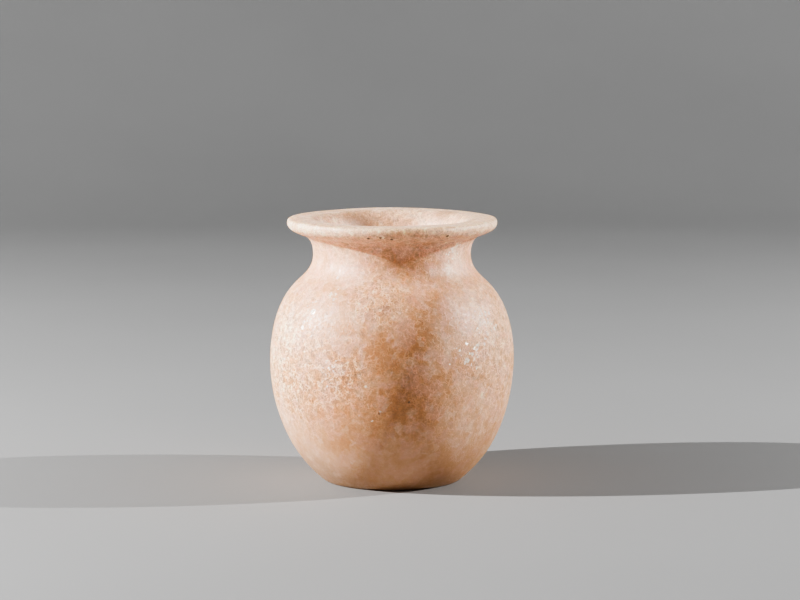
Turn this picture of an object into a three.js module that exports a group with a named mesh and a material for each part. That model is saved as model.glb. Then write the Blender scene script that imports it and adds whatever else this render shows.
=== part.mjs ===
// A vase carved from one block of alabaster: a globular body on a small flat foot, a short concave neck
// and a broad everted rim, hollowed out through the mouth. It is one solid of revolution, open at the top.
// Millimetres, +Z up. The origin is the centre of the foot, on the surface that the vase stands on.
import * as THREE from "three";

// The stone
const STONE_COLOUR = 0xe2bd9f;
const STONE_ROUGHNESS = 0.5;

// Overall sizes
const HEIGHT = 200;
const FOOT_RADIUS = 50.5;
const BELLY_RADIUS = 93;
const BELLY_HEIGHT = 91.5;
const NECK_RADIUS = 60;
const NECK_HEIGHT = 172;
const RIM_RADIUS = 79.8;
const RIM_EDGE_HEIGHT = 196; // where the rim is widest

// Thicknesses of the stone, and of the rounding of the rim above its widest line
const BELLY_WALL = 13;
const NECK_WALL = 12;
const FLOOR_THICKNESS = 15;
const RIM_ROUNDING = HEIGHT - RIM_EDGE_HEIGHT;

// The flat sides that stand for one turn
const FACETS_AROUND = 80;

// Headings of the profile, in degrees from outwards, turning first upwards
const OUTWARDS = 0;
const UPWARDS = 90;
const INWARDS = 180;
const DOWNWARDS = 270;

// Headings of the three slanting stretches of the outside
const HEEL_SLOPE = 37; // just above the foot
const SHOULDER_SLOPE = 138; // where the shoulder turns hollow, on its way to the neck
const UNDER_RIM_SLOPE = 40; // where the neck turns out under the rim

// Each station is a point of the profile. heading is the way the profile runs there, before and after are
// the reaches of the curve's handles on either side, and facets is how many straight steps lead on from it.
// The outside is followed upwards.
const foot = {
  radius: FOOT_RADIUS,
  height: 0,
  heading: OUTWARDS,
  after: 1.6,
  facets: 2,
};
const heel = {
  radius: FOOT_RADIUS + 3,
  height: 1,
  heading: HEEL_SLOPE,
  before: 1.6,
  after: 33.5,
  facets: 9,
};
const belly = {
  radius: BELLY_RADIUS,
  height: BELLY_HEIGHT,
  heading: UPWARDS,
  before: 33,
  after: 25.5,
  facets: 8,
};
const shoulder = {
  radius: 71.5,
  height: 152.5,
  heading: SHOULDER_SLOPE,
  before: 20,
  after: 6.5,
  facets: 4,
};
const neck = {
  radius: NECK_RADIUS,
  height: NECK_HEIGHT,
  heading: UPWARDS,
  before: 9.5,
  after: 6.5,
  facets: 4,
};
const underRim = {
  radius: 65,
  height: 185.5,
  heading: UNDER_RIM_SLOPE,
  before: 5,
  after: 3.5,
  facets: 4,
};
const rimEdge = {
  radius: RIM_RADIUS,
  height: RIM_EDGE_HEIGHT,
  heading: UPWARDS,
  before: 7,
  after: 3.4,
  facets: 5,
};
const lip = {
  radius: RIM_RADIUS - RIM_ROUNDING,
  height: HEIGHT,
  heading: INWARDS,
  before: 2,
  after: 2,
  facets: 1,
};

// The hollow, followed down from the lip to the floor
const mouthEdge = {
  radius: 63,
  height: HEIGHT,
  heading: INWARDS,
  before: 2,
  after: 9,
  facets: 6,
};
const throat = {
  radius: NECK_RADIUS - NECK_WALL,
  height: NECK_HEIGHT + 8,
  heading: DOWNWARDS,
  before: 9,
  after: 18,
  facets: 4,
};
const innerShoulder = behind(shoulder, BELLY_WALL);
const innerBelly = behind(belly, BELLY_WALL);
const floorEdge = {
  radius: FOOT_RADIUS - FLOOR_THICKNESS,
  height: FLOOR_THICKNESS,
  heading: INWARDS,
  before: 34,
};

// The station on the inside of a wall, the wall's thickness behind the outside station. The hollow is
// followed the other way, so the handles change places.
function behind(station, wall) {
  const run = THREE.MathUtils.degToRad(station.heading);
  const shrink = 1 - wall / BELLY_RADIUS;
  return {
    radius: station.radius - wall * Math.sin(run),
    height: station.height + wall * Math.cos(run),
    heading: station.heading + 180,
    before: station.after * shrink,
    after: station.before * shrink,
    facets: station.facets - 1,
  };
}

// The point that lies a reach along a station's heading
function handle(station, reach) {
  const run = THREE.MathUtils.degToRad(station.heading);
  return new THREE.Vector2(
    station.radius + reach * Math.cos(run),
    station.height + reach * Math.sin(run),
  );
}

// The points from one station up to the next, without the last
function stretch(from, to) {
  const curve = new THREE.CubicBezierCurve(
    handle(from, 0),
    handle(from, from.after),
    handle(to, -to.before),
    handle(to, 0),
  );
  return curve.getPoints(from.facets).slice(0, -1);
}

// The whole cut through the wall, from the axis under the foot to the axis on the floor of the hollow
function vaseProfile() {
  const stations = [
    foot,
    heel,
    belly,
    shoulder,
    neck,
    underRim,
    rimEdge,
    lip,
    mouthEdge,
    throat,
    innerShoulder,
    innerBelly,
    floorEdge,
  ];
  const wall = stations.slice(1).flatMap((to, i) => stretch(stations[i], to));
  return [
    new THREE.Vector2(0, 0),
    ...wall,
    handle(floorEdge, 0),
    new THREE.Vector2(0, FLOOR_THICKNESS),
  ];
}

function makeVase() {
  const stone = new THREE.MeshStandardMaterial({
    color: STONE_COLOUR,
    roughness: STONE_ROUGHNESS,
    metalness: 0,
  });
  const vase = new THREE.Mesh(
    new THREE.LatheGeometry(vaseProfile(), FACETS_AROUND),
    stone,
  );
  vase.name = "vase";
  vase.rotation.x = Math.PI / 2; // the lathe turns about Y, the vase stands along Z
  return vase;
}

const part = new THREE.Group();
part.add(makeVase());

export default part;
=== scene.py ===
"""A vase carved from one block of alabaster, on a plain pale floor between two lamps.

Laid out as an add-on: the sizes and colours are in the scene's properties, one operator carves the vase and
one sets the stage. Metres, +Z up, with the origin at the centre of the foot.
"""

import math
from typing import NamedTuple

import bpy
from bpy.props import FloatProperty, FloatVectorProperty, PointerProperty
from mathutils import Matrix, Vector


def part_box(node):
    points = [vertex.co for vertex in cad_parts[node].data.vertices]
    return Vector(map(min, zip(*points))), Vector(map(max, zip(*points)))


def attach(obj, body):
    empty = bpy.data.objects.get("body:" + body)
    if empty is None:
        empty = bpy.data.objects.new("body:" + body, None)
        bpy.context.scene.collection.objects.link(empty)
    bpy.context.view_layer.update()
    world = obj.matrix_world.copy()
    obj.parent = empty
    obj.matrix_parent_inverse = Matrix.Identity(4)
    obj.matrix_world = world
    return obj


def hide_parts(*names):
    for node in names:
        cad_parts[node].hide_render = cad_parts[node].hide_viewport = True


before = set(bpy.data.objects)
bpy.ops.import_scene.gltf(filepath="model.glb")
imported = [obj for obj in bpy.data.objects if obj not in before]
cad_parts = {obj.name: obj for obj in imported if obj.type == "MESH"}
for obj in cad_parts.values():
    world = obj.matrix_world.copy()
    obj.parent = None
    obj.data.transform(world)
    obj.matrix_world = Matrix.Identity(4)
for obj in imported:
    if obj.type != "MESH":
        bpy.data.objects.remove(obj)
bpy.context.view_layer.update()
VASE_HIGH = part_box("vase")[1]

bl_info = {
    "name": "Alabaster vase",
    "version": (1, 0, 0),
    "blender": (4, 5, 0),
    "location": "3D View > Sidebar > Vase",
    "description": "Carves an alabaster vase and sets it on a studio floor",
    "category": "Object",
}

MM = 0.001

# Headings of the profile in degrees: 0 runs outwards and 90 upwards
OUTWARDS = 0
HEEL_SLOPE = 37
UNDER_RIM_SLOPE = 40
UPWARDS = 90
SHOULDER_SLOPE = 138
INWARDS = 180
DOWNWARDS = 270
TURN = 2 * math.pi

# Points of the profile that the sizes in the scene don't set
STRAIGHT_REACH = 1.6 * MM  # of the curve's handles where the profile runs straight on
HEEL_WIDTH = 3 * MM
HEEL_HEIGHT = 1 * MM
WAIST_HEIGHT = 91.5 * MM
SHOULDER_RADIUS = 71.5 * MM
SHOULDER_HEIGHT = 152.5 * MM
NECK_HEIGHT = 172 * MM
UNDER_RIM_RADIUS = 65 * MM
UNDER_RIM_HEIGHT = 185.5 * MM
RIM_ROUNDING = 4 * MM
MOUTH_RADIUS = 63 * MM
THROAT_RADIUS = 48 * MM
THROAT_HEIGHT = 180 * MM
HOLLOW_FLOOR_RADIUS = 35.5 * MM

# The mesh of the vase
STEPS_AROUND = 400
STEPS_PER_CURVE = 4  # between two points of the drawn curve
MERGE_DISTANCE = 0.01 * MM

# What the hand carving leaves: low waves over the whole surface, and small pits
WAVE_LENGTH = 55 * MM
WAVE_DEPTH = 0.9 * MM
FULL_WAVE_HEIGHT = 6 * MM  # from here down to the flat foot the waves fade out
PIT_BORDER = 0.1 * MM
PIT_SLANT = 0.15 * MM


class Spot(NamedTuple):
    """A place at the surface: a cloud or a crystal in the stone, a darker patch inside the mouth, or a pit.
    Millimetres.
    """

    turn: float  # degrees round from the front, to the right
    radius: float
    height: float
    reach: float
    strength: float  # of a cloud, a crystal or a darker patch, or the depth of a pit


# Clouds in the stone, and a few of painted shade and painted highlight. Those on the front lie about where
# the photograph has them, the others are made up
AMBER_AND_PAINTED_SHADE_CLOUDS = (
    Spot(-32, 92, 100, 52, 1.0),
    Spot(-6, 92, 106, 26, 0.9),
    Spot(-26, 90, 60, 42, 0.9),
    Spot(8, 92, 70, 36, 1.0),
    Spot(12, 90, 116, 26, 0.9),
    Spot(22, 82, 138, 22, 0.6),
    Spot(-36, 84, 137, 20, 0.6),
    Spot(26, 60, 9, 18, 0.4),
    # painted shade: deeper colour where the rim's shadow falls on the front of the neck
    Spot(-1, 63, 180, 24, 0.2),
    Spot(80, 92, 84, 26, 0.6),
    Spot(128, 92, 92, 38, 0.9),
    Spot(172, 86, 128, 26, 0.7),
    Spot(205, 90, 70, 36, 0.9),
    Spot(264, 88, 120, 26, 0.6),
)
# painted shade: browner and darker at the lower left of the foot, which lies in shade
PAINTED_SHADE_CLOUDS = (Spot(-58, 58, 4, 44, 0.6),)
FROST_AND_PAINTED_HIGHLIGHT_CLOUDS = (
    Spot(42, 90, 56, 42, 0.65),
    Spot(-46, 78, 26, 38, 0.7),
    Spot(-62, 91, 118, 26, 0.7),
    Spot(24, 91, 113, 16, 0.6),
    Spot(-40, 66, 168, 30, 0.4),
    # painted highlight: paler where a highlight falls on the right of the neck
    Spot(50, 62, 176, 26, 1.5),
    Spot(104, 84, 134, 34, 0.7),
    Spot(160, 88, 52, 34, 0.7),
    Spot(232, 90, 108, 32, 0.7),
    Spot(290, 84, 46, 28, 0.5),
)
GRAINY_CLOUDS = (
    Spot(-62, 92, 96, 74, 1.2),
    Spot(-28, 92, 90, 40, 0.9),
    Spot(66, 92, 112, 66, 0.6),
    Spot(-8, 76, 148, 34, 0.6),
    Spot(140, 92, 90, 80, 0.4),
    Spot(214, 92, 90, 80, 0.5),
)

# Clouds in which many crystals glint, and single bright crystals. On both the colour is painted white:
# partly chalky crystals, partly painted glints
GLINT_CLOUDS = (
    Spot(-46, 86, 131, 18, 1.0),
    Spot(-36, 76, 150, 12, 1.0),
    Spot(38, 92, 106, 26, 0.8),
    Spot(54, 87, 128, 24, 1.0),
    # painted highlight on the right of the neck
    Spot(50, 61, 178, 13, 1.0),
    Spot(-30, 92, 94, 16, 1.0),
    Spot(-12, 92, 60, 14, 0.8),
    Spot(136, 90, 110, 26, 1.0),
    Spot(226, 88, 122, 26, 1.0),
)
CHALK_AND_PAINTED_GLINT_SPOTS = (
    Spot(-43.8, 83.8, 136.2, 3.4, 1.0),
    Spot(-48.2, 88.7, 123.9, 2.6, 0.8),
    Spot(-44.9, 79.7, 143.0, 1.8, 0.6),
    Spot(-39.1, 64.1, 160.0, 2.4, 0.6),
    Spot(-11.8, 92.8, 84.8, 1.6, 0.8),
    Spot(-5.5, 90.5, 66.4, 1.4, 0.8),
    Spot(25.0, 91.4, 112.3, 1.5, 0.7),
    Spot(28.7, 89.6, 120.5, 1.5, 0.7),
    Spot(37.0, 92.6, 101.8, 3.0, 1.0),
    Spot(40.2, 92.2, 106.0, 1.9, 0.9),
    Spot(44.5, 91.4, 111.9, 2.2, 0.8),
    Spot(48.7, 91.4, 111.8, 2.2, 0.7),
    Spot(55.2, 84.8, 134.1, 1.8, 0.9),
    Spot(58.1, 85.3, 133.0, 2.4, 0.9),
    Spot(58.8, 89.4, 121.4, 2.2, 0.8),
    # painted highlight: white crystals on the right of the neck
    Spot(47.8, 61.2, 180.4, 2.2, 1.0),
    Spot(51.0, 62.5, 182.8, 2.8, 1.0),
    Spot(131.0, 90.5, 108.0, 2.8, 1.0),
    Spot(150.0, 86.0, 130.0, 2.2, 0.9),
    Spot(228.0, 89.0, 119.0, 3.0, 1.0),
    Spot(243.0, 92.5, 96.0, 2.2, 0.8),
)

# The darker brown patches inside the mouth, and the pits
MOUTH_PATCHES = (
    Spot(210, 54, 190, 21, 0.65),
    Spot(186, 57, 194, 12, 0.3),
    Spot(136, 60, 195, 14, 0.5),
)
PITS = (
    Spot(-12.8, 77.3, 191.2, 1.6, 0.7),
    Spot(-6.0, 78.3, 192.2, 1.4, 0.6),
    Spot(0.0, 76.4, 190.6, 1.6, 0.7),
    Spot(31.5, 78.5, 192.4, 1.6, 0.6),
    Spot(8.0, 91.7, 73.3, 1.2, 0.3),
    Spot(-5.8, 90.3, 64.6, 1.1, 0.3),
)

# The share of a spot's reach over which it is at full strength
CLOUD_CORE = 0.2
PIT_CORE = 0.6
PIT_LEAST_DARKENING = 0.2  # how dark the shallowest pit is

# Two ellipsoids whose surfaces run inside the wall and part the hollow and the throat from the outside
HOLLOW_MIDDLE = (0, 0, 90 * MM)
HOLLOW_REACH = (86.5 * MM, 86.5 * MM, 84 * MM)
THROAT_MIDDLE = (0, 0, 165 * MM)
THROAT_REACH = (56 * MM, 56 * MM, 40 * MM)
HOLLOW_EDGE = (1.05, 0.98)  # shares of the reach, from where the look is absent to where it is full
THROAT_EDGE = (1.1, 0.95)


class Swirl(NamedTuple):
    """How noise moves a place about."""

    size: float  # of the patches of noise
    reach: float  # the farthest that it moves a place in each direction
    detail: int


CLOUD_SWIRL = Swirl(22 * MM, 16 * MM, 4)
MOUTH_PATCH_SWIRL = Swirl(6 * MM, 4 * MM, 4)
COARSE_SWIRL = Swirl(7 * MM, 3 * MM, 4)
FINE_SWIRL = Swirl(2.5 * MM, 0.9 * MM, 3)


class Pattern(NamedTuple):
    """Cloudy noise, and the two values of it between which the pattern sets in."""

    size: float  # of its patches
    detail: int
    roughness: float
    absent: float
    full: float


PATCHES = Pattern(13 * MM, 3, 0.5, 0.42, 0.58)
BLUSH = Pattern(12 * MM, 2, 0.5, 0.46, 0.62)
FLAKES = Pattern(9 * MM, 2, 0.5, 0.55, 0.62)
STREAKS = Pattern(7 * MM, 6, 0.62, 0.42, 0.8)
BREAKS = Pattern(4 * MM, 3, 0.5, 0.4, 0.58)
SCRATCHES = Pattern(1.3 * MM, 2, 0.5, 0.6, 0.72)
CHIPS = Pattern(1.1 * MM, 3, 0.6, 0.44, 0.52)
FLOOR_PATCHES = Pattern(0.4, 2, 0.5, 0.2, 0.8)

# The sizes of the other patterns, and how far places are squeezed so that a pattern is drawn out upwards
MOTTLE_SIZE = 6 * MM
FACET_SIZE = 1.7 * MM
SPECK_SIZE = 1.3 * MM
STREAK_SQUEEZE = (1, 1, 0.35)
SCRATCH_SQUEEZE = (1, 1, 0.14)

# Shares of a crystal's size over which a look sets in, from where it is absent to where it is full
COARSE_LINE = (0.06, 0.01)
FINE_LINE = (0.12, 0.01)
COARSE_MIDDLE = (0.5, 0.3)
FINE_LINE_SHARE = 0.8

# Chances, and strengths of a cloud, over which a look sets in
BLOB_CHANCES = (0.48, 0.58)
GLINT_CHANCES = (0.95, 0.98)
CHALK_AND_PAINTED_GLINT_STRENGTHS = (0.2, 0.6)
LEAST_CHALK_AND_PAINTED_GLINT = 0.6

# Heights over which a look of the stone sets in, from where it is absent to where it is full
LIVELY_HEIGHTS = (5 * MM, 65 * MM)
BROWN_HEIGHTS = (75 * MM, 5 * MM)
# painted shade: darker at the bottom of the foot, next to the floor
FOOT_PAINTED_SHADE_HEIGHTS = (16 * MM, 0)
RIM_HEIGHTS = (166 * MM, 196 * MM)
GRAINY_HEIGHTS = (15 * MM, 80 * MM)
LEAST_LIVELY = 0.3

# How deep the amber is on the whole, and what each pattern adds to it
MEAN_DEPTH = 0.46
CLOUD_DEPTH = 0.47
MOTTLE_DEPTH = 0.7
PATCH_DEPTH = 0.25
BLOB_DEPTH = 0.25
CHANCE_DEPTH = 0.2

# The largest shares of blush and brown, and what each pattern adds to the frost
BLUSH_SHARE = 0.4
BROWN_SHARE = 0.45
# painted shade: how much darker the bottom of the foot is, next to the floor
FOOT_PAINTED_SHADE_SHARE = 0.1
STREAK_FROST = 0.18
CLOUDED_STREAK_FROST = 0.4
CLOUD_FROST = 0.25
FLAKE_FROST = 0.4
RIM_FROST = 0.42
HOLLOW_FROST = 0.35
LACE_FROST = 0.35
SCRATCH_FROST = 0.3

# How grainy the stone is, and how far each pattern of the grain lightens and darkens it
LEAST_GRAIN = 0.05
PLAIN_GRAIN = 0.36
CLOUD_GRAIN = 0.8
RIM_GRAIN = 0.8
SPECK_SHADE = 1.8
LACE_SHADE = 0.45
CHANCE_SHADE = 0.6
DARKER = 0.08  # everywhere

# How the surface shines, and how light passes through the stone
SATIN = 0.42  # roughness
DULLER = 0.3
SHINIER = 0.35
CLUSTER_CHANCE = 0.3
# how far the colour is painted white on chalky and glinting crystals: partly painted glints
CHALK_AND_PAINTED_GLINT_SHARE = 0.8
FACET_TILT = 0.35
RELIEF_STRENGTH = 0.5
RELIEF_DEPTH = 0.2 * MM
REFRACTION = 1.53
TRANSLUCENCE = 0.9
LIGHT_REACH = 10 * MM
LIGHT_REACH_BY_COLOUR = (1.0, 0.82, 0.52)

# The photograph's camera: an image 800 pixels wide, seen from the front and a little above
IMAGE_WIDTH = 800
FOCAL_PIXELS = 2700
SENSOR_WIDTH = 36  # millimetres
CAMERA_DISTANCE = 2.0325
CAMERA_HEIGHT = 0.4057
CAMERA_PITCH = math.radians(7.54)
CAMERA_ASIDE = 0.0061  # so that the vase stands a little left of the middle

# The studio: a round floor that sweeps up into a wall, two point lamps at the sides and a faint fill
FLOOR_DROP = 0.1 * MM
FLOOR_RADIUS = 1.9
SWEEP_RADIUS = 1.9
SWEEP_STEPS = 24
WALL_HEIGHT = 0.9
FLOOR_SIDES = 128
FLOOR_UNEVENNESS = 1.04
FLOOR_ROUGHNESS = 0.8
LAMP_DISTANCE = 2.2
LAMP_RISE = math.radians(28.5)
LEFT_LAMP_TURN = math.radians(-80)  # from the front
RIGHT_LAMP_TURN = math.radians(93)


class VaseSizes(bpy.types.PropertyGroup):
    """The sizes that shape the vase."""

    height: FloatProperty(
        name="Height",
        description="From the floor to the top of the rim",
        default=VASE_HIGH.z,
        unit="LENGTH",
    )
    belly_radius: FloatProperty(
        name="Belly radius",
        description="At the widest part of the body",
        default=VASE_HIGH.x,
        unit="LENGTH",
    )
    rim_radius: FloatProperty(
        name="Rim radius",
        description="At the outer edge of the rim",
        default=79.8 * MM,
        unit="LENGTH",
    )
    neck_radius: FloatProperty(
        name="Neck radius",
        description="At the narrowest part of the neck",
        default=60 * MM,
        unit="LENGTH",
    )
    foot_radius: FloatProperty(
        name="Foot radius",
        description="Of the flat underside",
        default=50.5 * MM,
        unit="LENGTH",
    )
    wall: FloatProperty(
        name="Wall",
        description="Thickness of the stone in the belly",
        default=13 * MM,
        unit="LENGTH",
    )
    floor: FloatProperty(
        name="Floor",
        description="Thickness of the stone under the hollow",
        default=15 * MM,
        unit="LENGTH",
    )


class StoneLooks(bpy.types.PropertyGroup):
    """The colours and the grain of the stone."""

    body: FloatVectorProperty(
        name="Body",
        description="Pale peach ground of the stone",
        subtype="COLOR",
        min=0,
        max=1,
        default=(0.82, 0.475, 0.27),
    )
    # also deepens the painted shade under the rim
    amber: FloatVectorProperty(
        name="Amber",
        description="The deepest colour of the clear crystals",
        subtype="COLOR",
        min=0,
        max=1,
        default=(0.63, 0.29, 0.105),
    )
    blush: FloatVectorProperty(
        name="Blush",
        description="The rosy tinge of some clouds",
        subtype="COLOR",
        min=0,
        max=1,
        default=(0.84, 0.47, 0.35),
    )
    # also painted as a highlight on the right of the neck
    frost: FloatVectorProperty(
        name="Frost",
        description="The cloudy white between the crystals",
        subtype="COLOR",
        min=0,
        max=1,
        default=(0.93, 0.69, 0.51),
    )
    # darker and browner towards the foot; also painted shade at the bottom of the foot and at the lower
    # left
    brown: FloatVectorProperty(
        name="Brown",
        description="The tinge of the stone towards the foot",
        subtype="COLOR",
        min=0,
        max=1,
        default=(0.50, 0.29, 0.165),
    )
    # painted on chalky crystals and where crystals glint: partly chalk, partly painted glints
    white: FloatVectorProperty(
        name="White",
        description="The chalky crystals that catch the light",
        subtype="COLOR",
        min=0,
        max=1,
        default=(0.97, 0.90, 0.80),
    )
    mouth_patch: FloatVectorProperty(
        name="Stain",
        description="The brown patches inside the mouth",
        subtype="COLOR",
        min=0,
        max=1,
        default=(0.40, 0.22, 0.11),
    )
    # darker in the pits, the more so the deeper they are
    pit_dark: FloatVectorProperty(
        name="Dirt",
        description="What has settled in the pits",
        subtype="COLOR",
        min=0,
        max=1,
        default=(0.06, 0.045, 0.03),
    )
    grain: FloatProperty(
        name="Grain",
        description="Size of one crystal",
        default=3.0 * MM,
        unit="LENGTH",
    )


class StageLooks(bpy.types.PropertyGroup):
    """The floor and the light."""

    floor: FloatVectorProperty(
        name="Floor colour",
        description="Plain pale floor and wall",
        subtype="COLOR",
        min=0,
        max=1,
        default=(0.30, 0.30, 0.30),
    )
    left_power: FloatProperty(
        name="Left lamp",
        description="Power of the lamp at the left",
        default=306,
        unit="POWER",
    )
    right_power: FloatProperty(
        name="Right lamp",
        description="Power of the lamp at the right",
        default=156,
        unit="POWER",
    )
    fill: FloatProperty(
        name="Fill",
        description="Strength of the even light from above",
        default=0.02,
        min=0,
    )


class Station(NamedTuple):
    """A point of the profile, with the reaches of the curve's handles before and after it."""

    radius: float
    height: float
    heading: float
    before: float
    after: float
    cuts: int  # points that are added between it and the next

    def handle(self, reach):
        run = math.radians(self.heading)
        return Vector(
            (
                self.radius + reach * math.cos(run),
                0,
                self.height + reach * math.sin(run),
            )
        )

    def behind(self, wall, shrink, cuts):
        """The station on the inside of the wall, which is followed the other way."""
        run = math.radians(self.heading)
        return Station(
            self.radius - wall * math.sin(run),
            self.height + wall * math.cos(run),
            self.heading + 180,
            self.after * shrink,
            self.before * shrink,
            cuts,
        )


def profile_stations(sizes):
    """The cut through the wall, from the axis under the foot to the axis on the floor of the hollow."""
    foot, belly, neck = sizes.foot_radius, sizes.belly_radius, sizes.neck_radius
    rim, top, floor = sizes.rim_radius, sizes.height, sizes.floor
    straight = STRAIGHT_REACH
    heel = Station(
        foot + HEEL_WIDTH, HEEL_HEIGHT, HEEL_SLOPE, straight, 33.5 * MM, cuts=12
    )
    waist = Station(belly, WAIST_HEIGHT, UPWARDS, 33 * MM, 25.5 * MM, cuts=8)
    shoulder = Station(
        SHOULDER_RADIUS, SHOULDER_HEIGHT, SHOULDER_SLOPE, 20 * MM, 6.5 * MM, cuts=3
    )
    under_rim = Station(
        UNDER_RIM_RADIUS, UNDER_RIM_HEIGHT, UNDER_RIM_SLOPE, 5 * MM, 3.5 * MM, cuts=3
    )
    throat = Station(
        THROAT_RADIUS, THROAT_HEIGHT, DOWNWARDS, 9 * MM, 18 * MM, cuts=3
    )
    shrink = 1 - sizes.wall / belly
    return (
        Station(0, 0, OUTWARDS, straight, straight, cuts=2),
        Station(foot, 0, OUTWARDS, straight, straight, cuts=0),
        heel,
        waist,
        shoulder,
        Station(neck, NECK_HEIGHT, UPWARDS, 9.5 * MM, 6.5 * MM, cuts=2),
        under_rim,
        Station(rim, top - RIM_ROUNDING, UPWARDS, 7 * MM, 3.4 * MM, cuts=1),
        Station(rim - RIM_ROUNDING, top, INWARDS, 2 * MM, 2 * MM, cuts=1),
        Station(MOUTH_RADIUS, top, INWARDS, 2 * MM, 9 * MM, cuts=3),
        throat,
        shoulder.behind(sizes.wall, shrink, cuts=3),
        waist.behind(sizes.wall, shrink, cuts=5),
        Station(HOLLOW_FLOOR_RADIUS, floor, INWARDS, 34 * MM, straight, cuts=1),
        Station(0, floor, INWARDS, straight, straight, cuts=0),
    )


def deselect_all():
    """Nothing is selected, so that an operator acts on the new piece alone."""
    if bpy.context.object and bpy.context.object.mode != "OBJECT":
        bpy.ops.object.mode_set(mode="OBJECT")
    bpy.ops.object.select_all(action="DESELECT")


def draw_profile(stations):
    """Draws the stations as a Bézier curve, then cuts its longer stretches into finer ones."""
    deselect_all()
    bpy.ops.curve.primitive_bezier_curve_add(enter_editmode=True)
    bpy.ops.curve.select_all(action="SELECT")
    bpy.ops.curve.subdivide(number_cuts=len(stations) - 2)
    curve = bpy.context.object.data
    curve.dimensions = "3D"
    curve.resolution_u = STEPS_PER_CURVE
    points = curve.splines[0].bezier_points
    for point, station in zip(points, stations, strict=True):
        point.handle_left_type = "FREE"
        point.handle_right_type = "FREE"
        point.co = station.handle(0)
        point.handle_left = station.handle(-station.before)
        point.handle_right = station.handle(station.after)
    for first in reversed(range(len(stations) - 1)):
        if stations[first].cuts:
            cut_stretch(first, stations[first].cuts)
    bpy.ops.object.mode_set(mode="OBJECT")


def cut_stretch(first, cuts):
    """Adds points to the stretch of the curve after its point number first."""
    bpy.ops.curve.select_all(action="DESELECT")
    points = bpy.context.object.data.splines[0].bezier_points
    for point in points[first : first + 2]:
        point.select_control_point = True
        point.select_left_handle = True
        point.select_right_handle = True
    bpy.ops.curve.subdivide(number_cuts=cuts)


def turn_profile():
    """Turns the drawn profile once about the upright axis, as on a lathe."""
    bpy.ops.object.convert(target="MESH")
    bpy.ops.object.mode_set(mode="EDIT")
    bpy.ops.mesh.select_all(action="SELECT")
    bpy.ops.mesh.spin(steps=STEPS_AROUND, angle=TURN, center=(0, 0, 0), axis=(0, 0, 1))
    bpy.ops.mesh.select_all(action="SELECT")
    bpy.ops.mesh.remove_doubles(threshold=MERGE_DISTANCE)
    bpy.ops.mesh.normals_make_consistent(inside=False)
    bpy.ops.object.mode_set(mode="OBJECT")
    return bpy.context.object


def carve_by_hand(vase):
    """Sinks low uneven waves into the turned surface, everywhere but in the foot that it stands on."""
    texture = bpy.data.textures.new("hand_carving", "CLOUDS")
    texture.noise_scale = WAVE_LENGTH
    texture.noise_depth = 1
    carved = vase.vertex_groups.new(name="carved")
    for vertex in vase.data.vertices:
        if vertex.co.z > 0:
            share = min(1, vertex.co.z / FULL_WAVE_HEIGHT)
            carved.add([vertex.index], share, "REPLACE")
    bpy.ops.object.modifier_add(type="DISPLACE")
    waves = vase.modifiers[-1]
    waves.texture = texture
    waves.texture_coords = "LOCAL"
    waves.mid_level = 1
    waves.strength = WAVE_DEPTH
    waves.vertex_group = carved.name
    bpy.ops.object.modifier_apply(modifier=waves.name)
    vase.vertex_groups.clear()


def spot_place(spot):
    """The middle of a spot, on the turned surface."""
    turn = math.radians(spot.turn)
    across, deep = spot.radius * math.sin(turn), spot.radius * math.cos(turn)
    return Vector((across, -deep, spot.height)) * MM


def sink_pits(vase):
    """Sinks each small pit into the face of the mesh that is nearest to its place."""
    bpy.ops.object.mode_set(mode="EDIT")
    bpy.ops.mesh.select_mode(type="FACE")
    for pit in PITS:
        bpy.ops.mesh.select_all(action="DESELECT")
        bpy.ops.object.mode_set(mode="OBJECT")
        place = spot_place(pit)
        nearest = min(
            vase.data.polygons,
            key=lambda face: (face.center - place).length_squared,
        )
        nearest.select = True
        bpy.ops.object.mode_set(mode="EDIT")
        bpy.ops.mesh.inset(thickness=PIT_BORDER, depth=0)
        bpy.ops.mesh.inset(thickness=PIT_SLANT, depth=-pit.strength * MM)
    bpy.ops.object.mode_set(mode="OBJECT")


class Wire:
    """A value that runs through a material's nodes. Arithmetic on it adds Math nodes."""

    def __init__(self, tree, socket):
        self.tree = tree
        self.socket = socket

    def node(self, kind, settings, inputs, output=0):
        """Adds a node, applies its settings, feeds its inputs and returns one of its outputs."""
        made = self.tree.nodes.new(kind)
        for name, value in settings.items():
            setattr(made, name, value)
        for name, value in inputs.items():
            if isinstance(value, Wire):
                self.tree.links.new(value.socket, made.inputs[name])
            else:
                made.inputs[name].default_value = value
        return Wire(self.tree, made.outputs[output])

    def math(self, operation, *values):
        return self.node(
            "ShaderNodeMath", {"operation": operation}, dict(enumerate(values))
        )

    def __add__(self, other):
        return self.math("ADD", self, other)

    __radd__ = __add__

    def __sub__(self, other):
        return self.math("SUBTRACT", self, other)

    def __mul__(self, other):
        return self.math("MULTIPLY", self, other)

    __rmul__ = __mul__

    def least(self, other):
        return self.math("MINIMUM", self, other)

    def most(self, other):
        return self.math("MAXIMUM", self, other)

    def step(self, low, high):
        """A smooth step from 0 where the value is low to 1 where it is high."""
        return self.node(
            "ShaderNodeMapRange",
            {"interpolation_type": "SMOOTHSTEP"},
            {"Value": self, "From Min": low, "From Max": high},
        )


COLOUR_A, COLOUR_B, COLOUR_OUT = 6, 7, 2  # the colour sockets of a Mix node


def blend(share, colour, other):
    """colour where share is 0 and other where it is 1."""
    return share.node(
        "ShaderNodeMix",
        {"data_type": "RGBA"},
        {"Factor": share, COLOUR_A: colour, COLOUR_B: other},
        COLOUR_OUT,
    )


def noise(place, size, detail, output=0, roughness=0.5):
    """Cloudy noise with patches of about the given size."""
    return place.node(
        "ShaderNodeTexNoise",
        {},
        {
            "Vector": place,
            "Scale": 1 / size,
            "Detail": detail,
            "Roughness": roughness,
        },
        output,
    )


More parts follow.
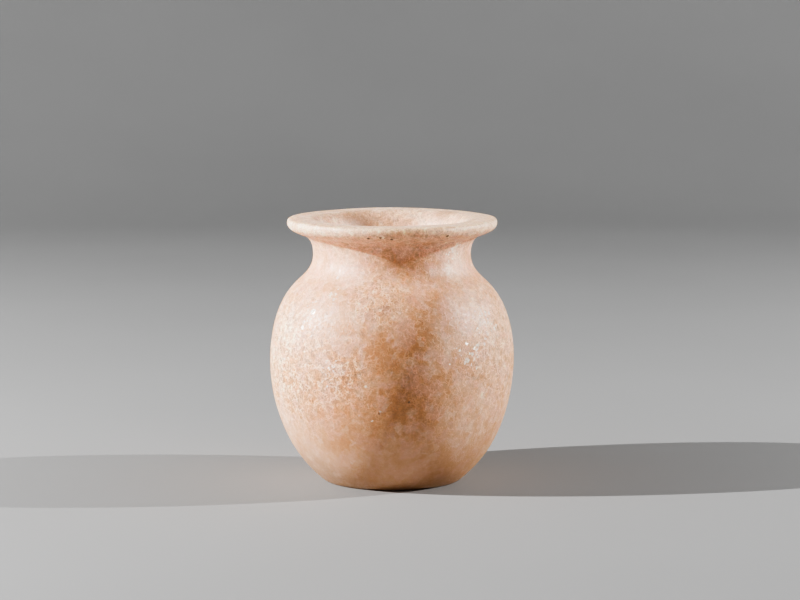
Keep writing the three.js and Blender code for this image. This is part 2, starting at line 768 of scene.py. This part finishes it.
def pattern(place, kind):
    """0 where the pattern is absent and 1 where it is full."""
    cloudy = noise(place, kind.size, kind.detail, roughness=kind.roughness)
    return cloudy.step(kind.absent, kind.full)


def cells(place, size, feature, output):
    """Crystal grains of the given size."""
    return place.node(
        "ShaderNodeTexVoronoi",
        {"feature": feature},
        {"Vector": place, "Scale": 1 / size},
        output,
    )


def vector_math(operation, vector, inputs, output=0):
    return vector.node(
        "ShaderNodeVectorMath",
        {"operation": operation},
        {0: vector, **inputs},
        output,
    )


def shake(place, swirl):
    """The place, moved about by noise."""
    swing = noise(place, swirl.size, swirl.detail, "Color")
    centred = vector_math("SUBTRACT", swing, {1: (0.5, 0.5, 0.5)})
    reach = (2 * swirl.reach,) * 3
    return vector_math("MULTIPLY_ADD", centred, {1: reach, 2: place})


def chance(colour):
    """The chance of a cell: the mean of the random colour it was given, from 0 to 1."""
    return vector_math("DOT_PRODUCT", colour, {1: (0.33, 0.33, 0.33)}, "Value")


def cloud_field(place, clouds):
    """0 outside the clouds, rising to a cloud's strength in its middle."""
    field = None
    for cloud in clouds:
        away = vector_math("DISTANCE", place, {1: spot_place(cloud)}, "Value")
        inside = away.step(cloud.reach * MM, cloud.reach * CLOUD_CORE * MM) * cloud.strength
        field = inside if field is None else field.most(inside)
    return field


def from_the_middle(place, middle, reach):
    """How far a place is from the middle, with 1 at the reach."""
    away = vector_math("SUBTRACT", place, {1: middle})
    away = vector_math("DIVIDE", away, {1: reach})
    return vector_math("LENGTH", away, {}, "Value")


def in_the_hollow(place):
    """1 on the walls of the hollow and of the throat above it, and about 0 on the outside."""
    hollow = from_the_middle(place, HOLLOW_MIDDLE, HOLLOW_REACH).step(*HOLLOW_EDGE)
    throat = from_the_middle(place, THROAT_MIDDLE, THROAT_REACH).step(*THROAT_EDGE)
    return hollow.most(throat)


def rgba(colour):
    return (*colour, 1)


class Grain(NamedTuple):
    """What the layers of the stone share, each as a wire."""

    place: Wire
    drifted: Wire  # the place, moved about as the clouds are
    curled: Wire  # the place, moved about as the coarse crystals are
    curly: Wire  # the place, moved about as the fine crystals are
    height: Wire
    lively: Wire  # less than 1 towards the foot, where the pattern is faint
    rim: Wire  # the frost on the rim
    coarse_middle: Wire
    coarse_chance: Wire
    fine_chance: Wire
    broken: Wire  # where lines in the stone aren't interrupted
    lace: Wire  # thin lines between the crystals
    specks: Wire


def find_grain(place, size):
    """Crystals of the given size and of twice that size, both with uneven edges."""
    curled = shake(place, COARSE_SWIRL)
    curly = shake(place, FINE_SWIRL)
    height = place.node("ShaderNodeSeparateXYZ", {}, {0: place}, "Z")
    broken = pattern(place, BREAKS)
    coarse_edge = cells(curled, 2 * size, "DISTANCE_TO_EDGE", "Distance")
    coarse_middle = cells(curled, 2 * size, "F1", "Distance")
    fine_edge = cells(curly, size, "DISTANCE_TO_EDGE", "Distance")
    fine_line = fine_edge.step(*FINE_LINE) * FINE_LINE_SHARE
    return Grain(
        place=place,
        drifted=shake(place, CLOUD_SWIRL),
        curled=curled,
        curly=curly,
        height=height,
        lively=height.step(*LIVELY_HEIGHTS) * (1 - LEAST_LIVELY) + LEAST_LIVELY,
        rim=height.step(*RIM_HEIGHTS) * RIM_FROST,
        coarse_middle=coarse_middle.step(*COARSE_MIDDLE),
        coarse_chance=chance(cells(curled, 2 * size, "F1", "Color")),
        fine_chance=chance(cells(curly, size, "F1", "Color")),
        broken=broken,
        lace=coarse_edge.step(*COARSE_LINE).most(fine_line) * broken,
        specks=noise(place, SPECK_SIZE, 3, roughness=0.7) - 0.5,
    )


def crystal_colours(grain, looks):
    """Amber crystals in a pale ground, rosy in places, calmer and browner towards the foot, with painted
    shade under the rim, at the bottom of the foot and at the lower left.
    """
    amber_and_painted_shade = cloud_field(grain.drifted, AMBER_AND_PAINTED_SHADE_CLOUDS)
    patches = pattern(grain.curled, PATCHES) - 0.5
    mottle = noise(grain.place, MOTTLE_SIZE, 4, roughness=0.62) - 0.5
    blobs = grain.coarse_middle * grain.coarse_chance.step(*BLOB_CHANCES)
    uneven = PATCH_DEPTH * patches + MOTTLE_DEPTH * mottle + BLOB_DEPTH * blobs
    depth = MEAN_DEPTH + CLOUD_DEPTH * amber_and_painted_shade + grain.lively * uneven
    depth = depth + (grain.fine_chance - 0.5) * CHANCE_DEPTH
    colour = blend(depth.step(0, 1), rgba(looks.body), rgba(looks.amber))
    rosy = pattern(grain.drifted, BLUSH) * BLUSH_SHARE
    colour = blend(rosy, colour, rgba(looks.blush))
    # browner towards the foot, plus painted shade at the bottom of the foot and at the lower left
    tinge = grain.height.step(*BROWN_HEIGHTS) * BROWN_SHARE
    tinge = tinge + grain.height.step(*FOOT_PAINTED_SHADE_HEIGHTS) * FOOT_PAINTED_SHADE_SHARE
    tinge = tinge + cloud_field(grain.drifted, PAINTED_SHADE_CLOUDS)
    return blend(tinge.least(1), colour, rgba(looks.brown))


def frost_over(colour, grain, looks):
    """Adds cloudy streaks and flakes, a frosty rim and hollow, and a painted highlight on the right of the
    neck.
    """
    frost_and_painted_highlight = cloud_field(grain.drifted, FROST_AND_PAINTED_HIGHLIGHT_CLOUDS)
    upright = vector_math("MULTIPLY", grain.place, {1: STREAK_SQUEEZE})
    streaks = pattern(upright, STREAKS)
    flakes = pattern(grain.curled, FLAKES) * grain.coarse_chance * grain.lively
    haze = streaks * (STREAK_FROST + CLOUDED_STREAK_FROST * frost_and_painted_highlight)
    haze = haze + CLOUD_FROST * frost_and_painted_highlight + flakes * FLAKE_FROST
    haze = haze + grain.rim.most(in_the_hollow(grain.place) * HOLLOW_FROST)
    return blend(haze.least(1), colour, rgba(looks.frost))


def draw_grain(colour, grain, looks):
    """Adds the lace, fine upright scratches, and light and dark specks."""
    drawn_out = vector_math("MULTIPLY", grain.place, {1: SCRATCH_SQUEEZE})
    scratches = pattern(drawn_out, SCRATCHES) * grain.broken
    clouded = PLAIN_GRAIN + CLOUD_GRAIN * cloud_field(grain.drifted, GRAINY_CLOUDS)
    grainy = grain.height.step(*GRAINY_HEIGHTS) * clouded
    grainy = grainy + grain.rim * RIM_GRAIN + LEAST_GRAIN
    pale = (grain.lace * LACE_FROST + scratches * SCRATCH_FROST) * grainy
    colour = blend(pale.least(1), colour, rgba(looks.frost))
    shade = grain.specks * SPECK_SHADE + grain.lace * LACE_SHADE
    shade = shade + (grain.fine_chance - 0.5) * CHANCE_SHADE - DARKER
    return vector_math("SCALE", colour, {"Scale": 1 + grainy * shade})


def darken_mouth_and_pits(colour, place, looks):
    """Adds the darker brown patches inside the mouth, and darkens the pits."""
    patched = cloud_field(shake(place, MOUTH_PATCH_SWIRL), MOUTH_PATCHES)
    colour = blend(patched, colour, rgba(looks.mouth_patch))
    for pit in PITS:
        away = vector_math("DISTANCE", place, {1: spot_place(pit)}, "Value")
        pit_darkening = away.step(pit.reach * MM, pit.reach * PIT_CORE * MM) * (pit.strength + PIT_LEAST_DARKENING)
        colour = blend(pit_darkening, colour, rgba(looks.pit_dark))
    return colour


def find_glints(grain, lit):
    """1 where a crystal is chalk white or a polished facet, and the colour is painted white there: partly
    chalk, partly painted glints. lit is the chance of each facet.
    """
    clustered = cloud_field(grain.curled, GLINT_CLOUDS)
    ragged = pattern(grain.place, CHIPS)
    glint = (lit + clustered * CLUSTER_CHANCE).step(*GLINT_CHANCES) * ragged
    chalk_and_painted_glint = cloud_field(grain.curly, CHALK_AND_PAINTED_GLINT_SPOTS).step(*CHALK_AND_PAINTED_GLINT_STRENGTHS)
    return glint.most(chalk_and_painted_glint * (LEAST_CHALK_AND_PAINTED_GLINT + (1 - LEAST_CHALK_AND_PAINTED_GLINT) * ragged))


def surface_normal(grain, facet, glint):
    """The surface, tilted where a facet glints, with the lace and the specks in low relief."""
    tilt = vector_math("SUBTRACT", facet, {1: (0.5, 0.5, 0.4)})
    tilt = vector_math("SCALE", tilt, {"Scale": glint * FACET_TILT})
    face = grain.place.node("ShaderNodeNewGeometry", {}, {}, "Normal")
    tilted = vector_math("ADD", face, {1: tilt})
    tilted = vector_math("NORMALIZE", tilted, {})
    relief = grain.lace + grain.specks
    return relief.node(
        "ShaderNodeBump",
        {},
        {
            "Strength": RELIEF_STRENGTH,
            "Distance": RELIEF_DEPTH,
            "Height": relief,
            "Normal": tilted,
        },
    )


def stone_material(looks):
    """Translucent stone: amber crystals in a pale cloudy ground, with a satin surface and glints. The
    glints are partly painted white into the colour, and some painted shade is in the colour too.
    """
    material = bpy.data.materials.new("alabaster_stone")
    material.use_nodes = True
    tree = material.node_tree
    shader = tree.nodes["Principled BSDF"]
    place = Wire(tree, None).node("ShaderNodeTexCoord", {}, {}, "Object")
    grain = find_grain(place, looks.grain)
    facet = cells(grain.curly, FACET_SIZE, "F1", "Color")
    lit = chance(facet)
    glint = find_glints(grain, lit)

    colour = crystal_colours(grain, looks)
    colour = frost_over(colour, grain, looks)
    colour = draw_grain(colour, grain, looks)
    colour = darken_mouth_and_pits(colour, place, looks)
    # painted glints: white painted into the colour on chalky and glinting crystals
    colour = blend(glint * CHALK_AND_PAINTED_GLINT_SHARE, colour, rgba(looks.white))
    roughness = SATIN + DULLER * lit - SHINIER * glint
    normal = surface_normal(grain, facet, glint)

    tree.links.new(colour.socket, shader.inputs["Base Color"])
    tree.links.new(roughness.socket, shader.inputs["Roughness"])
    tree.links.new(normal.socket, shader.inputs["Normal"])
    shader.inputs["IOR"].default_value = REFRACTION
    shader.inputs["Specular IOR Level"].default_value = 1
    shader.inputs["Subsurface Weight"].default_value = TRANSLUCENCE
    shader.inputs["Subsurface Radius"].default_value = LIGHT_REACH_BY_COLOUR
    shader.inputs["Subsurface Scale"].default_value = LIGHT_REACH
    return material


def floor_material(looks):
    """Plain pale paint with a faint unevenness."""
    material = bpy.data.materials.new("studio_floor")
    material.use_nodes = True
    tree = material.node_tree
    shader = tree.nodes["Principled BSDF"]
    place = Wire(tree, None).node("ShaderNodeTexCoord", {}, {}, "Object")
    shade = pattern(place, FLOOR_PATCHES)
    paler = (min(1, part * FLOOR_UNEVENNESS) for part in looks.floor)
    colour = blend(shade, rgba(looks.floor), rgba(paler))
    tree.links.new(colour.socket, shader.inputs["Base Color"])
    shader.inputs["Roughness"].default_value = FLOOR_ROUGHNESS
    return material


class ALABASTER_OT_carve_vase(bpy.types.Operator):
    """Carve the vase from its profile and give it its stone"""

    bl_idname = "alabaster.carve_vase"
    bl_label = "Carve the vase"

    def execute(self, context):
        draw_profile(profile_stations(context.scene.vase_sizes))
        vase = turn_profile()
        vase.name = "alabaster_vase"
        carve_by_hand(vase)
        sink_pits(vase)
        bpy.ops.object.shade_smooth()
        vase.data.materials.clear()
        vase.data.materials.append(stone_material(context.scene.stone_looks))
        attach(vase, "root")
        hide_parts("vase")
        return {"FINISHED"}


def build_sweep():
    """A round floor whose edge is drawn out and up in an arc, into a wall all round."""
    deselect_all()
    bpy.ops.mesh.primitive_circle_add(
        vertices=FLOOR_SIDES,
        radius=FLOOR_RADIUS,
        fill_type="TRIFAN",
        location=(0, 0, -FLOOR_DROP),
    )
    sweep = bpy.context.object
    sweep.name = "studio_floor"
    bpy.ops.object.transform_apply(location=True)
    bpy.ops.object.mode_set(mode="EDIT")
    bpy.ops.mesh.select_all(action="SELECT")
    bpy.ops.mesh.region_to_loop()
    radius, height = FLOOR_RADIUS, 0.0
    for step in range(1, SWEEP_STEPS + 1):
        rise = math.radians(90) * step / SWEEP_STEPS
        wider = FLOOR_RADIUS + SWEEP_RADIUS * math.sin(rise)
        higher = SWEEP_RADIUS * (1 - math.cos(rise))
        extrude_ring(wider / radius, higher - height)
        radius, height = wider, higher
    extrude_ring(1, WALL_HEIGHT)
    bpy.ops.mesh.select_all(action="SELECT")
    bpy.ops.mesh.normals_make_consistent(inside=True)
    bpy.ops.object.mode_set(mode="OBJECT")
    bpy.ops.object.shade_smooth()
    return sweep


def extrude_ring(widen, lift):
    """Extrudes the selected ring of edges, makes it wider and lifts it."""
    bpy.ops.mesh.extrude_edges_move()
    bpy.ops.transform.resize(value=(widen, widen, 1), center_override=(0, 0, 0))
    bpy.ops.transform.translate(value=(0, 0, lift))


def hang_lamp(name, turn, power):
    """A lamp at one side of the vase. It is a bare point, so its shadows have crisp edges."""
    across = LAMP_DISTANCE * math.cos(LAMP_RISE)
    deselect_all()
    bpy.ops.object.light_add(
        type="POINT",
        location=(
            across * math.sin(turn),
            -across * math.cos(turn),
            LAMP_DISTANCE * math.sin(LAMP_RISE),
        ),
    )
    lamp = bpy.context.object
    lamp.name = name
    lamp.data.energy = power
    lamp.visible_camera = False


def light_room(strength):
    """Even white light from above the wall."""
    world = bpy.data.worlds.new("studio")
    world.use_nodes = True
    sky = world.node_tree.nodes["Background"]
    sky.inputs["Color"].default_value = (1, 1, 1, 1)
    sky.inputs["Strength"].default_value = strength
    bpy.context.scene.world = world


def place_camera():
    deselect_all()
    bpy.ops.object.camera_add(
        location=(CAMERA_ASIDE, -CAMERA_DISTANCE, CAMERA_HEIGHT),
        rotation=(math.radians(90) - CAMERA_PITCH, 0, 0),
    )
    camera = bpy.context.object
    camera.data.sensor_width = SENSOR_WIDTH
    camera.data.lens = FOCAL_PIXELS / IMAGE_WIDTH * SENSOR_WIDTH
    bpy.context.scene.camera = camera


class ALABASTER_OT_set_stage(bpy.types.Operator):
    """Lay the floor, hang the lamps and place the camera"""

    bl_idname = "alabaster.set_stage"
    bl_label = "Set the stage"

    def execute(self, context):
        looks = context.scene.stage_looks
        sweep = build_sweep()
        sweep.data.materials.append(floor_material(looks))
        hang_lamp("left_lamp", LEFT_LAMP_TURN, looks.left_power)
        hang_lamp("right_lamp", RIGHT_LAMP_TURN, looks.right_power)
        light_room(looks.fill)
        place_camera()
        context.scene.view_settings.view_transform = "AgX"
        context.scene.view_settings.look = "AgX - Very High Contrast"
        return {"FINISHED"}


class ALABASTER_PT_vase(bpy.types.Panel):
    """Sizes, looks and the operators that use them"""

    bl_label = "Alabaster vase"
    bl_idname = "ALABASTER_PT_vase"
    bl_space_type = "VIEW_3D"
    bl_region_type = "UI"
    bl_category = "Vase"

    def draw(self, context):
        for group in (
            context.scene.vase_sizes,
            context.scene.stone_looks,
            context.scene.stage_looks,
        ):
            for name in group.__annotations__:
                self.layout.prop(group, name)
        self.layout.operator(ALABASTER_OT_carve_vase.bl_idname)
        self.layout.operator(ALABASTER_OT_set_stage.bl_idname)


CLASSES = (
    VaseSizes,
    StoneLooks,
    StageLooks,
    ALABASTER_OT_carve_vase,
    ALABASTER_OT_set_stage,
    ALABASTER_PT_vase,
)


def register():
    for made in CLASSES:
        bpy.utils.register_class(made)
    bpy.types.Scene.vase_sizes = PointerProperty(type=VaseSizes)
    bpy.types.Scene.stone_looks = PointerProperty(type=StoneLooks)
    bpy.types.Scene.stage_looks = PointerProperty(type=StageLooks)


def unregister():
    del bpy.types.Scene.stage_looks
    del bpy.types.Scene.stone_looks
    del bpy.types.Scene.vase_sizes
    for made in reversed(CLASSES):
        bpy.utils.unregister_class(made)


def main():
    register()
    bpy.ops.alabaster.set_stage()
    bpy.ops.alabaster.carve_vase()


if __name__ == "__main__":
    main()
